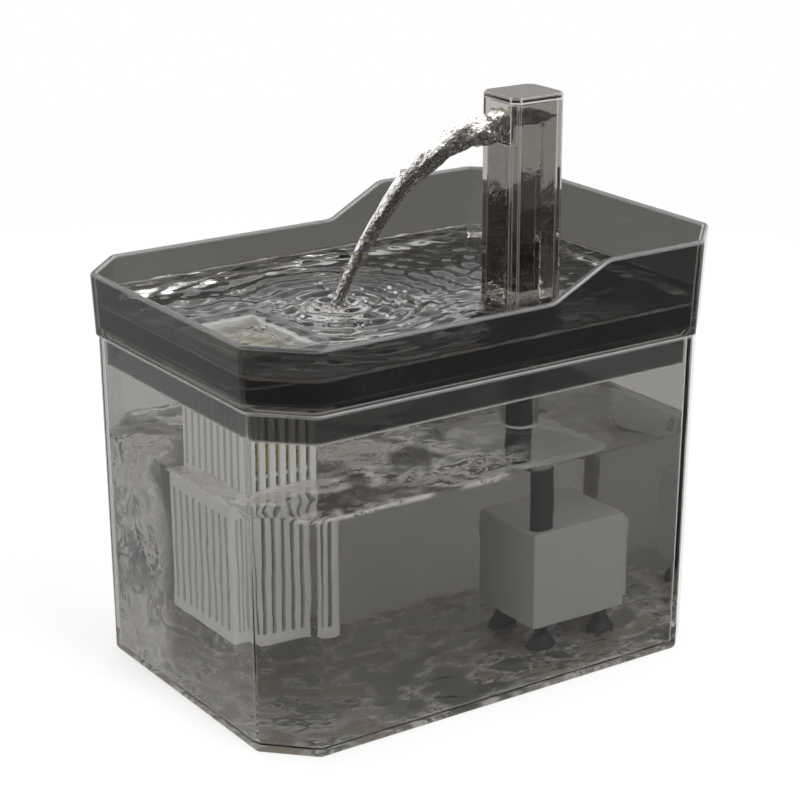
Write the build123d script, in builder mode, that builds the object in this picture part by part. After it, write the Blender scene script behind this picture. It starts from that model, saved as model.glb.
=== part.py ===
from build123d import *
import os

# Pet water fountain: a clear tank with a lift-off drinking tray, a spout tower, a hanging
# filter box with a foam block, and a submersible pump. Sizes in millimetres.
# Frame: the origin is the centre of the tank's underside, +Z is up, X runs along the long side,
# the front faces -Y, and the tray's raised rim is at the +X end.

# ---- Tank: eight-sided plan, drafted walls ----
tank_length = 200.0
tank_depth = 143.0
tank_height = 128.0
tank_wall = 2.6
tank_floor = 3.0
corner_cut = 18.0
corner_round = 4.5
corner_round_least = 3.2
wall_draft = 0.8
tank_foot_round = 2.5
tank_floor_round = 1.0
edge_round = 0.6

# ---- Tray: floor, flared rim with a raised end, and a skirt that nests in the tank ----
tray_overhang = 0.7
tray_floor = 2.5
tray_wall = 2.4
rim_flare = 3.0
rim_low = 152.0
rim_high = 164.5
rise_start = 15.0
rise_end = 39.0
rise_round = 9.0
rim_round = 0.8
rim_upward = 0.5
tray_floor_round = 1.0
skirt_bottom = 116.5
skirt_gap = 0.5
skirt_wall = 2.0

# ---- Filter: opening in the tray floor, frame, slotted box, foam block ----
filter_x = -71.0
filter_y = -7.5
box_length = 30.0
box_depth = 45.0
box_bottom = 32.0
box_wall = 1.6
box_corner = 2.0
box_inner_corner = 1.0
box_clearance = 0.5
flange_reach = 1.6
flange_thick = 2.0
frame_height = 9.0
frame_wall = 2.0
frame_clearance = 0.4
slot_low = (36.0, 80.0)
slot_high = (87.0, 120.0)
slot_width = 1.8
slot_end_round = 0.7
slot_length_bottom = 35.4
slot_pitch_side = 4.6
slot_count_side = 9
slot_pitch_front = 4.2
slot_count_front = 6
ledge_height = 92.0
ledge_thick = 1.5
ledge_reach = 1.8
sponge_gap = 0.7
sponge_height = 27.0
sponge_round = 1.5

# ---- Spout tower, its cap and the riser under the tray ----
tower_x = 36.0
tower_y = -26.0
tower_length = 24.0
tower_depth = 22.0
tower_corner = 2.8
tower_wall = 2.2
tower_edge_round = 0.3
tower_base = 4.0
tower_top = 217.5
cap_thick = 2.2
cap_plug = 1.3
cap_plug_gap = 0.05
notch_bottom = 200.0
water_bore = 4.0
spigot_radius = 7.0
spigot_length = 12.0
running_gap = 0.06
riser_top_radius = 10.8
riser_bottom_radius = 7.2
riser_bottom = 90.0
riser_shoulder = 97.0
riser_bore = 5.3
riser_socket_depth = 14.0

# ---- Hose from the pump to the riser ----
hose_radius = 5.0
hose_bore = 3.1
hose_top = 99.0

# ---- Pump: box on four suction cups, rotor axis along Y ----
pump_left = 29.0
pump_right = 73.0
pump_front = -34.0
pump_back = 20.0
pump_bottom = 13.0
pump_top = 52.0
pump_wall = 2.0
pump_edge = 1.2
cover_thick = 2.5
cover_lip = 1.4
cover_lip_wall = 1.2
cover_gap = 0.3
divider_front = -17.0
divider_thick = 2.0
rotor_x = 45.0
rotor_z = 32.5
well_radius = 8.0
well_wall = 1.5
well_end = 6.5
well_back = 10.0
bush_radius = 2.65
bush_length = 2.0
bush_seat_radius = 2.7
bush_seat_length = 2.2
stub_radius = 3.0
stub_bore = 2.0
stub_top = 63.0

# ---- Impeller chamber cover ----
volute_radius = 13.0
volute_bore = 10.8
volute_front = -30.0
volute_plate = 1.8
inlet_eye = 7.0
spider_radius = 4.0
spoke_width = 1.6
spoke_count = 3
duct_half = 3.6

# ---- Rotor: impeller and magnet on a fixed ceramic shaft ----
shaft_radius = 1.5
shaft_bore = 1.56
shaft_chamfer = 0.3
bush_bore = 1.53
shaft_front = -29.6
shaft_back = 8.2
impeller_radius = 9.6
impeller_hub = 3.2
impeller_front = -26.8
impeller_back = -18.6
impeller_disc = 1.2
blade_count = 6
blade_thick = 1.2
blade_height = 5.0
neck_radius = 4.5
magnet_radius = 7.2
magnet_front = -15.2
magnet_back = 5.4

# ---- Stator, resin and cord entry ----
core_front = -9.0
core_back = 3.0
core_left = 36.0
core_leg = (61.5, 66.5)
core_low = (16.5, 22.0)
core_high = (43.0, 48.5)
coil_build = 4.0
coil_round = 2.0
coil_gap = 0.2
resin_recess = 1.0
well_resin_gap = 0.05
gland_x = 62.0
gland_z = 44.0
gland_flange_radius = 4.2
gland_flange = 1.6
gland_radius = 3.0
gland_tip_radius = 2.2
gland_depth = 4.0
gland_nose = 7.0
gland_bore = 1.5

# ---- Intake slots, flow slider and its rails, on the pump's +X side ----
intake_count = 4
intake_pitch = 2.8
intake_width = 1.6
intake_low = 19.0
intake_high = 46.0
intake_y = -24.0
rail_height = (16.0, 49.0)
rail_reach = 2.6
rail_wall = 1.2
rail_lip = 1.3
rail_lip_thick = 0.8
slider_half = 5.9
slider_thick = 1.5
slider_gap = 0.15
slider_low = 17.0
slider_high = 32.0
slider_grip = 1.2
slider_grip_count = 3

# ---- Suction cups ----
cup_inset = 7.5
cup_radius = 6.5
cup_lip = 1.0
cup_waist_radius = 3.0
cup_waist = 6.0
cup_stem_radius = 2.0
cup_stem_length = 1.6
cup_stem_gap = 0.08
cup_hollow = 2.0
cup_hollow_radius = 5.0


def eight_sided(length, depth, inset=0.0):
    """Return the eight-sided plan with rounded corners, drawn in by an inset all round."""
    with BuildSketch() as plan:
        Rectangle(length, depth)
        chamfer(plan.vertices(), corner_cut)
        offset(amount=-inset, kind=Kind.INTERSECTION)
        fillet(plan.vertices(), max(corner_round - inset, corner_round_least))
    return plan.sketch


def upright_plane(x, y):
    """Return an upright plane through a vertical axis, its local x the radius and its local y the height."""
    return Plane(origin=(x, y, 0), x_dir=(1, 0, 0), z_dir=(0, -1, 0))


def bounding_edges(faces):
    """Return the edges round a run of neighbouring faces, without those between two of them."""
    loops = [edge for face in faces for edge in face.edges()]
    return [edge for edge in loops if sum(edge.is_same(other) for other in loops) == 1]


def rotor_plane(y):
    """Return a plane across the rotor axis at a place along it, facing the back (+Y)."""
    return Plane(origin=(rotor_x, y, rotor_z), x_dir=(-1, 0, 0), z_dir=(0, 1, 0))


def write(piece, name):
    """Label a finished piece and write its STEP file."""
    piece.part.label = name
    export_step(piece.part, "parts/" + name + ".step")


os.makedirs("parts", exist_ok=True)

# ---------------------------------------------------------------- tank
tank_outside = eight_sided(tank_length, tank_depth)
tank_inside = eight_sided(tank_length, tank_depth, tank_wall)

with BuildPart() as tank:
    with BuildSketch(Plane.XY.offset(tank_height)):
        add(tank_outside)
    extrude(amount=-tank_height, taper=wall_draft)
    foot_edges = tank.faces().sort_by(Axis.Z)[0].edges()
    fillet(foot_edges, tank_foot_round)
    with BuildSketch(Plane.XY.offset(tank_height)):
        add(tank_inside)
    extrude(amount=tank_floor - tank_height, taper=wall_draft, mode=Mode.SUBTRACT)
    floor_face = tank.faces().filter_by(Plane.XY).sort_by(Axis.Z)[1]
    fillet(floor_face.edges(), tank_floor_round)
    rim_face = tank.faces().filter_by(Plane.XY).sort_by(Axis.Z)[-1]
    fillet(rim_face.edges(), edge_round)
write(tank, "tank")

# ---------------------------------------------------------------- tray
tray_top = tank_height + tray_floor
tray_outside = eight_sided(tank_length + 2 * tray_overhang, tank_depth + 2 * tray_overhang)
tray_inside = eight_sided(tank_length + 2 * tray_overhang, tank_depth + 2 * tray_overhang, tray_wall)
skirt_outside = eight_sided(tank_length, tank_depth, tank_wall + edge_round + skirt_gap)
skirt_inside = eight_sided(tank_length, tank_depth, tank_wall + edge_round + skirt_gap + skirt_wall)
filter_centre = Plane(origin=(filter_x, filter_y, 0))
tower_centre = Plane(origin=(tower_x, tower_y, 0))
opening_length = box_length + 2 * box_clearance
opening_depth = box_depth + 2 * box_clearance

with BuildPart() as tray:
    with BuildSketch(Plane.XY.offset(tank_height)):
        add(tray_outside)
    extrude(amount=rim_high + edge_round - tank_height, taper=-rim_flare)
    fillet(tray.faces().sort_by(Axis.Z)[0].edges(), edge_round)
    with BuildSketch(Plane.XY.offset(tray_top)):
        add(tray_inside)
    extrude(amount=rim_high + edge_round - tray_top, taper=-rim_flare, mode=Mode.SUBTRACT)
    basin_face = tray.faces().filter_by(Plane.XY).sort_by(Axis.Z)[1]
    fillet(basin_face.edges(), tray_floor_round)
    with BuildSketch(Plane.XZ):
        with BuildLine():
            reach = tank_length
            Polyline(
                (-reach, rim_low),
                (rise_start, rim_low),
                (rise_end, rim_high),
                (reach, rim_high),
                (reach, rim_high + reach),
                (-reach, rim_high + reach),
                close=True,
            )
        make_face()
        slope_ends = vertices().filter_by_position(Axis.X, rise_start, rise_end)
        fillet(slope_ends, rise_round)
    extrude(amount=tank_depth, both=True, mode=Mode.SUBTRACT)
    rim_faces = tray.faces().filter_by(lambda face: face.center().Z > tray_top and face.normal_at().Z > rim_upward)
    fillet(bounding_edges(rim_faces), rim_round)
    with BuildSketch(Plane.XY.offset(tank_height)):
        add(skirt_outside)
        add(skirt_inside, mode=Mode.SUBTRACT)
    extrude(amount=skirt_bottom - tank_height, taper=wall_draft)
    with BuildSketch(filter_centre.offset(tank_height)):
        RectangleRounded(opening_length, opening_depth, box_corner)
    extrude(amount=tray_floor, mode=Mode.SUBTRACT)
    with BuildSketch(tower_centre.offset(tank_height)):
        Circle(spigot_radius + running_gap)
    extrude(amount=tray_floor, mode=Mode.SUBTRACT)
write(tray, "tray")

# ---------------------------------------------------------------- filter
frame_length = box_length + 2 * (flange_reach + frame_clearance + frame_wall)
frame_depth = box_depth + 2 * (flange_reach + frame_clearance + frame_wall)
with BuildPart() as filter_frame:
    with BuildSketch(filter_centre.offset(tray_top)):
        RectangleRounded(frame_length, frame_depth, box_corner + frame_wall)
        RectangleRounded(
            frame_length - 2 * frame_wall,
            frame_depth - 2 * frame_wall,
            box_corner,
            mode=Mode.SUBTRACT,
        )
    extrude(amount=frame_height)
    top_edges = filter_frame.faces().sort_by(Axis.Z)[-1].edges()
    fillet(top_edges, edge_round)
write(filter_frame, "filter_frame")

box_top = tray_top + flange_thick
with BuildPart() as filter_box:
    with BuildSketch(filter_centre.offset(box_bottom)):
        RectangleRounded(box_length, box_depth, box_corner)
    extrude(amount=box_top - box_bottom)
    with BuildSketch(filter_centre.offset(tray_top)):
        RectangleRounded(box_length + 2 * flange_reach, box_depth + 2 * flange_reach, box_corner)
    extrude(amount=flange_thick)
    with BuildSketch(filter_centre.offset(box_bottom + box_wall)):
        RectangleRounded(box_length - 2 * box_wall, box_depth - 2 * box_wall, box_inner_corner)
    extrude(amount=box_top - box_bottom, mode=Mode.SUBTRACT)
    for low, high in (slot_low, slot_high):
        middle = (low + high) / 2
        with BuildSketch(Plane.YZ):
            with Locations((filter_y, middle)):
                with GridLocations(slot_pitch_side, 1, slot_count_side, 1):
                    RectangleRounded(slot_width, high - low, slot_end_round)
        extrude(amount=2 * filter_x, mode=Mode.SUBTRACT)
        with BuildSketch(Plane.XZ):
            with Locations((filter_x, middle)):
                with GridLocations(slot_pitch_front, 1, slot_count_front, 1):
                    RectangleRounded(slot_width, high - low, slot_end_round)
        extrude(amount=tank_depth, both=True, mode=Mode.SUBTRACT)
    with BuildSketch(filter_centre.offset(box_bottom)):
        with GridLocations(slot_pitch_front, 1, slot_count_front, 1):
            RectangleRounded(slot_width, slot_length_bottom, slot_end_round)
    extrude(amount=box_wall, mode=Mode.SUBTRACT)
    with BuildSketch(filter_centre.offset(ledge_height)):
        Rectangle(box_length - 2 * box_wall, box_depth - 2 * box_wall)
        ledge_opening_length = box_length - 2 * box_wall - 2 * ledge_reach
        ledge_opening_depth = box_depth - 2 * box_wall - 2 * ledge_reach
        Rectangle(ledge_opening_length, ledge_opening_depth, mode=Mode.SUBTRACT)
    extrude(amount=ledge_thick)
write(filter_box, "filter_box")

with BuildPart() as filter_sponge:
    with BuildSketch(filter_centre.offset(ledge_height + ledge_thick)):
        sponge_inset = 2 * (box_wall + sponge_gap)
        RectangleRounded(box_length - sponge_inset, box_depth - sponge_inset, sponge_round)
    extrude(amount=sponge_height)
write(filter_sponge, "filter_sponge")

# ---------------------------------------------------------------- spout tower
with BuildSketch() as tower_outside:
    Rectangle(tower_length, tower_depth)
    chamfer(tower_outside.vertices(), tower_corner)
with BuildSketch() as tower_inside:
    add(tower_outside.sketch)
    offset(amount=-tower_wall, kind=Kind.INTERSECTION)
tower_tube_top = tower_top - cap_thick

with BuildPart() as spout_tower:
    with BuildSketch(tower_centre.offset(tray_top)):
        add(tower_outside.sketch)
    extrude(amount=tower_tube_top - tray_top)
    fillet(spout_tower.edges().filter_by(Axis.Z), tower_edge_round)
    with BuildSketch(tower_centre.offset(tray_top + tower_base)):
        add(tower_inside.sketch)
    extrude(amount=tower_top - tray_top, mode=Mode.SUBTRACT)
    with BuildSketch(tower_centre.offset(tray_top)):
        Circle(spigot_radius)
    extrude(amount=-spigot_length)
    with BuildSketch(tower_centre.offset(tray_top - spigot_length)):
        Circle(water_bore)
    extrude(amount=spigot_length + tower_base, mode=Mode.SUBTRACT)
    with BuildSketch(Plane.YZ.offset(tower_x - tower_length / 2)):
        with Locations((tower_y, (notch_bottom + tower_tube_top) / 2)):
            Rectangle(tower_depth - 2 * tower_corner, tower_tube_top - notch_bottom)
    extrude(amount=tower_length / 2, mode=Mode.SUBTRACT)
write(spout_tower, "spout_tower")

with BuildPart() as spout_cap:
    with BuildSketch(tower_centre.offset(tower_tube_top)):
        add(tower_outside.sketch)
    extrude(amount=cap_thick)
    fillet(spout_cap.faces().sort_by(Axis.Z)[-1].edges(), edge_round)
    with BuildSketch(tower_centre.offset(tower_tube_top)):
        add(tower_inside.sketch)
        offset(amount=-cap_plug_gap, kind=Kind.INTERSECTION)
    extrude(amount=-cap_plug)
write(spout_cap, "spout_cap")

riser_socket = tank_height - riser_socket_depth
with BuildPart() as riser_tube:
    with BuildSketch(upright_plane(tower_x, tower_y)):
        with BuildLine():
            Polyline(
                (riser_bore, riser_bottom),
                (riser_bottom_radius, riser_bottom),
                (riser_bottom_radius + edge_round, riser_shoulder),
                (riser_top_radius, tank_height),
                (spigot_radius + running_gap, tank_height),
                (spigot_radius + running_gap, riser_socket),
                (riser_bore, riser_socket),
                close=True,
            )
        make_face()
    revolve(axis=Axis((tower_x, tower_y, 0), (0, 0, 1)))
write(riser_tube, "riser_tube")

with BuildPart() as outlet_hose:
    with BuildSketch(tower_centre.offset(pump_top)):
        Circle(hose_radius)
        Circle(hose_bore, mode=Mode.SUBTRACT)
    extrude(amount=hose_top - pump_top)
    fillet(outlet_hose.faces().sort_by(Axis.Z)[-1].edges(), edge_round)
write(outlet_hose, "outlet_hose")

# ---------------------------------------------------------------- pump
pump_length = pump_right - pump_left
pump_height = pump_top - pump_bottom
pump_mid_x = (pump_left + pump_right) / 2
pump_mid_z = (pump_bottom + pump_top) / 2
housing_front = pump_front + cover_thick
divider_back = divider_front + divider_thick
stub_base = pump_top - pump_wall
cup_places = [
    (pump_left + cup_inset, pump_front + cup_inset),
    (pump_right - cup_inset, pump_front + cup_inset),
    (pump_left + cup_inset, pump_back - cup_inset),
    (pump_right - cup_inset, pump_back - cup_inset),
]


def pump_section(y):
    """Return a plane across the pump at a place along Y, centred on its box, facing the back."""
    return Plane(origin=(pump_mid_x, y, pump_mid_z), x_dir=(-1, 0, 0), z_dir=(0, 1, 0))


with BuildPart() as pump_housing:
    with BuildSketch(pump_section(housing_front)):
        RectangleRounded(pump_length, pump_height, pump_edge)
    extrude(amount=pump_back - housing_front)
    with BuildSketch(pump_section(housing_front)):
        RectangleRounded(pump_length - 2 * pump_wall, pump_height - 2 * pump_wall, pump_edge)
    extrude(amount=divider_front - housing_front, mode=Mode.SUBTRACT)
    with BuildSketch(pump_section(divider_back)):
        RectangleRounded(pump_length - 2 * pump_wall, pump_height - 2 * pump_wall, pump_edge)
    extrude(amount=pump_back - divider_back, mode=Mode.SUBTRACT)
    with BuildSketch(rotor_plane(divider_back)):
        Circle(well_radius + well_wall)
    extrude(amount=well_back - divider_back)
    with BuildSketch(rotor_plane(divider_front)):
        Circle(well_radius)
    extrude(amount=well_end - divider_front, mode=Mode.SUBTRACT)
    with BuildSketch(rotor_plane(well_end)):
        Circle(bush_seat_radius)
    extrude(amount=bush_seat_length, mode=Mode.SUBTRACT)
    with BuildSketch(tower_centre.offset(stub_base)):
        Circle(stub_radius)
    extrude(amount=stub_top - stub_base)
    with BuildSketch(tower_centre.offset(stub_base)):
        Circle(stub_bore)
    extrude(amount=stub_top - stub_base, mode=Mode.SUBTRACT)
    intake_height = intake_high - intake_low
    with BuildSketch(Plane.YZ.offset(pump_right)):
        with Locations((intake_y, (intake_low + intake_high) / 2)):
            with GridLocations(intake_pitch, 1, intake_count, 1):
                RectangleRounded(intake_width, intake_height, slot_end_round)
    extrude(amount=-pump_wall, mode=Mode.SUBTRACT)
    rail_inner = slider_half + slider_gap
    with BuildSketch(Plane.XY.offset(rail_height[0])):
        for side in (-1, 1):
            rail_y = intake_y + side * (rail_inner + rail_wall / 2)
            lip_y = intake_y + side * (rail_inner + rail_wall - (rail_wall + rail_lip) / 2)
            with Locations((pump_right + rail_reach / 2, rail_y)):
                Rectangle(rail_reach, rail_wall)
            with Locations((pump_right + rail_reach - rail_lip_thick / 2, lip_y)):
                Rectangle(rail_lip_thick, rail_wall + rail_lip)
    extrude(amount=rail_height[1] - rail_height[0])
    with BuildSketch(Plane.XY.offset(pump_bottom)):
        with Locations(*cup_places):
            Circle(cup_stem_radius + cup_stem_gap)
    extrude(amount=pump_wall, mode=Mode.SUBTRACT)
write(pump_housing, "pump_housing")

lip_length = pump_length - 2 * (pump_wall + cover_gap)
lip_height = pump_height - 2 * (pump_wall + cover_gap)
with BuildPart() as pump_intake_cover:
    with BuildSketch(pump_section(pump_front)):
        RectangleRounded(pump_length, pump_height, pump_edge)
    extrude(amount=cover_thick)
    fillet(pump_intake_cover.faces().sort_by(Axis.Y)[0].edges(), edge_round)
    with BuildSketch(pump_section(housing_front)):
        RectangleRounded(lip_length, lip_height, pump_edge)
        RectangleRounded(
            lip_length - 2 * cover_lip_wall,
            lip_height - 2 * cover_lip_wall,
            pump_edge / 2,
            mode=Mode.SUBTRACT,
        )
    extrude(amount=cover_lip)
write(pump_intake_cover, "pump_intake_cover")

slider_face = Plane.YZ.offset(pump_right + slider_gap)
with BuildPart() as flow_slider:
    with BuildSketch(slider_face):
        with Locations((intake_y, (slider_low + slider_high) / 2)):
            Rectangle(2 * slider_half, slider_high - slider_low)
    extrude(amount=slider_thick)
    with BuildSketch(slider_face.offset(slider_thick)):
        with Locations((intake_y, (slider_low + slider_high) / 2)):
            with GridLocations(slider_grip, 2 * slider_grip, 1, slider_grip_count):
                Rectangle(slider_half, slider_grip)
    extrude(amount=slider_grip)
write(flow_slider, "flow_slider")

# ---------------------------------------------------------------- impeller chamber cover
with BuildPart() as impeller_chamber_cover:
    with BuildSketch(rotor_plane(volute_front)):
        Circle(volute_radius)
    extrude(amount=divider_front - volute_front)
    duct_low = rotor_z + volute_bore / 2
    with BuildSketch(tower_centre.offset(duct_low)):
        Rectangle(2 * duct_half, 2 * duct_half)
    extrude(amount=stub_base - duct_low)
    with BuildSketch(rotor_plane(volute_front + volute_plate)):
        Circle(volute_bore)
    extrude(amount=divider_front - volute_front - volute_plate, mode=Mode.SUBTRACT)
    with BuildSketch(tower_centre.offset(duct_low)):
        Circle(stub_bore)
    extrude(amount=stub_base - duct_low, mode=Mode.SUBTRACT)
    with BuildSketch(rotor_plane(volute_front)):
        Circle(inlet_eye)
    extrude(amount=volute_plate, mode=Mode.SUBTRACT)
    with BuildSketch(rotor_plane(volute_front)):
        Circle(spider_radius)
        with PolarLocations(0, spoke_count):
            with Locations((inlet_eye / 2 + spider_radius / 2, 0)):
                Rectangle(inlet_eye, spoke_width)
        Circle(bush_seat_radius, mode=Mode.SUBTRACT)
    extrude(amount=volute_plate)
write(impeller_chamber_cover, "impeller_chamber_cover")

# ---------------------------------------------------------------- rotor and shaft
with BuildPart() as impeller:
    with BuildSketch(rotor_plane(impeller_front)):
        Circle(impeller_hub)
    extrude(amount=impeller_back - impeller_front)
    with BuildSketch(rotor_plane(impeller_back)):
        Circle(impeller_radius)
    extrude(amount=-impeller_disc)
    with BuildSketch(rotor_plane(impeller_back - impeller_disc)):
        with PolarLocations(0, blade_count):
            with Locations((impeller_radius / 2, 0)):
                Rectangle(impeller_radius - impeller_disc, blade_thick)
    extrude(amount=-blade_height)
    with BuildSketch(rotor_plane(impeller_back)):
        Circle(neck_radius)
    extrude(amount=magnet_front - impeller_back)
    with BuildSketch(rotor_plane(impeller_front)):
        Circle(shaft_bore)
    extrude(amount=magnet_front - impeller_front, mode=Mode.SUBTRACT)
write(impeller, "impeller")

with BuildPart() as rotor_magnet:
    with BuildSketch(rotor_plane(magnet_front)):
        Circle(magnet_radius)
        Circle(shaft_bore, mode=Mode.SUBTRACT)
    extrude(amount=magnet_back - magnet_front)
    chamfer(rotor_magnet.edges().group_by(Axis.Y)[-1], edge_round)
write(rotor_magnet, "rotor_magnet")

with BuildPart() as impeller_shaft:
    with BuildSketch(rotor_plane(shaft_front)):
        Circle(shaft_radius)
    extrude(amount=shaft_back - shaft_front)
    chamfer(impeller_shaft.edges().filter_by(GeomType.CIRCLE), shaft_chamfer)
write(impeller_shaft, "impeller_shaft")

for bush_name, bush_start in (("front_bush", volute_front), ("rear_bush", well_end)):
    with BuildPart() as bush:
        with BuildSketch(rotor_plane(bush_start)):
            Circle(bush_radius)
            Circle(bush_bore, mode=Mode.SUBTRACT)
        extrude(amount=bush_length)
    write(bush, bush_name)

# ---------------------------------------------------------------- stator, resin, cord gland
core_plane = Plane.XZ.offset(-core_back)
with BuildPart() as stator_core:
    with BuildSketch(core_plane):
        with BuildLine():
            Polyline(
                (core_left, core_low[0]),
                (core_leg[1], core_low[0]),
                (core_leg[1], core_high[1]),
                (core_left, core_high[1]),
                (core_left, core_high[0]),
                (core_leg[0], core_high[0]),
                (core_leg[0], core_low[1]),
                (core_left, core_low[1]),
                close=True,
            )
        make_face()
    extrude(amount=core_back - core_front)
write(stator_core, "stator_core")

leg_mid_x = (core_leg[0] + core_leg[1]) / 2
leg_mid_y = (core_front + core_back) / 2
leg_length = core_leg[1] - core_leg[0]
leg_depth = core_back - core_front
with BuildPart() as stator_coil:
    with BuildSketch(Plane(origin=(leg_mid_x, leg_mid_y, core_low[1] + coil_gap))):
        RectangleRounded(leg_length + 2 * coil_build, leg_depth + 2 * coil_build, coil_round)
        Rectangle(leg_length + 2 * coil_gap, leg_depth + 2 * coil_gap, mode=Mode.SUBTRACT)
    extrude(amount=core_high[0] - core_low[1] - 2 * coil_gap)
write(stator_coil, "stator_coil")

gland_start = pump_back - resin_recess - gland_depth
with BuildPart() as cord_gland:
    with BuildSketch(Plane(origin=(gland_x, gland_start, gland_z), x_dir=(-1, 0, 0), z_dir=(0, 1, 0))):
        Circle(gland_radius)
    extrude(amount=gland_depth)
    gland_face = Plane(
        origin=(gland_x, pump_back - resin_recess, gland_z), x_dir=(-1, 0, 0), z_dir=(0, 1, 0)
    )
    with BuildSketch(gland_face):
        Circle(gland_flange_radius)
    extrude(amount=gland_flange)
    with BuildSketch(gland_face.offset(gland_flange)):
        Circle(gland_radius)
    with BuildSketch(gland_face.offset(gland_flange + gland_nose)):
        Circle(gland_tip_radius)
    loft()
    with BuildSketch(gland_face.offset(-gland_depth / 2)):
        Circle(gland_bore)
    extrude(amount=gland_depth / 2 + gland_flange + gland_nose, mode=Mode.SUBTRACT)
write(cord_gland, "cord_gland")

with BuildPart() as potting:
    with BuildSketch(pump_section(divider_back)):
        RectangleRounded(pump_length - 2 * pump_wall, pump_height - 2 * pump_wall, pump_edge)
    extrude(amount=pump_back - resin_recess - divider_back)
    with BuildSketch(rotor_plane(divider_back)):
        Circle(well_radius + well_wall + well_resin_gap)
    extrude(amount=well_back - divider_back, mode=Mode.SUBTRACT)
    add(stator_core.part, mode=Mode.SUBTRACT)
    add(stator_coil.part, mode=Mode.SUBTRACT)
    with BuildSketch(gland_face.offset(-gland_depth)):
        Circle(gland_radius)
    extrude(amount=gland_depth, mode=Mode.SUBTRACT)
write(potting, "potting")

# ---------------------------------------------------------------- suction cups
cup_foot = tank_floor
cup_profile = (
    (0, cup_foot + cup_hollow),
    (cup_hollow_radius, cup_foot),
    (cup_radius, cup_foot),
    (cup_radius, cup_foot + cup_lip),
    (cup_waist_radius, cup_foot + cup_waist),
    (cup_waist_radius, pump_bottom),
    (cup_stem_radius, pump_bottom),
    (cup_stem_radius, pump_bottom + cup_stem_length),
    (0, pump_bottom + cup_stem_length),
)
with BuildPart() as suction_cups:
    for cup_x, cup_y in cup_places:
        with BuildSketch(upright_plane(cup_x, cup_y)):
            with BuildLine():
                Polyline(*cup_profile, close=True)
            make_face()
        revolve(axis=Axis((cup_x, cup_y, 0), (0, 0, 1)))
write(suction_cups, "suction_cups")
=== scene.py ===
import logging
import math
import random
from dataclasses import dataclass, replace
from enum import Enum
from functools import cache, cached_property
from typing import Any, Callable, Optional, Sequence

import bmesh
import bpy
from mathutils import Matrix, Vector, noise


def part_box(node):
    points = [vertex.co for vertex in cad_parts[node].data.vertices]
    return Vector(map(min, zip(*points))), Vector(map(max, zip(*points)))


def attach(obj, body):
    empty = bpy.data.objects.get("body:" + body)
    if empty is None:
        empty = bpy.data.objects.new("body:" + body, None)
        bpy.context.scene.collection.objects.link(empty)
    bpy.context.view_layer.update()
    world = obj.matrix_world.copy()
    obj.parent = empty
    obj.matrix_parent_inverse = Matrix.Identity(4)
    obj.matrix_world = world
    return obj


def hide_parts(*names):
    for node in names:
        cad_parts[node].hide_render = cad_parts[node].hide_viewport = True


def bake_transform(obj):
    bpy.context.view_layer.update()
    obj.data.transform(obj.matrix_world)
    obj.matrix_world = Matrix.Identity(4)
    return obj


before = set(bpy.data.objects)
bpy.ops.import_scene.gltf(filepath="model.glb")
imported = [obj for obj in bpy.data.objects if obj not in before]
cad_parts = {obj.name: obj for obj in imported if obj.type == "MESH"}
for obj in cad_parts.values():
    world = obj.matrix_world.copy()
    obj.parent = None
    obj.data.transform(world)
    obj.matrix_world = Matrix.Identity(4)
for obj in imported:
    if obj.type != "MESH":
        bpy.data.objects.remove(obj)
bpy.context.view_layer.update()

log = logging.getLogger("fountain")

Colour = tuple[float, float, float]
Point = tuple[float, float, float]
Ring = list[Point]

PURE_WHITE: Colour = (1.0, 1.0, 1.0)
SIDES = 8

# These limits set where clear plastic gets its painted edge highlight.
# A face is an edge where its rounded normal leans off the flat one; both limits are cosines.
EDGE_TURNED = 0.93
EDGE_FLAT = 0.999
EDGE_SAMPLES = 4

# Light has to pass many walls and water faces, one behind the other.
CLEAR_BOUNCES = 28
GLOSS_BOUNCES = 16
STRAIGHT_BOUNCES = 64


class Body(Enum):
    """The bodies that carry the water and the foam."""

    TANK = "tank"
    TRAY = "tray"
    TOWER = "tower"
    SPONGE = "sponge"


class Slot(Enum):
    """The record's material slots that new pieces take their finish from."""

    FOAM = "foam_yellow"


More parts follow.
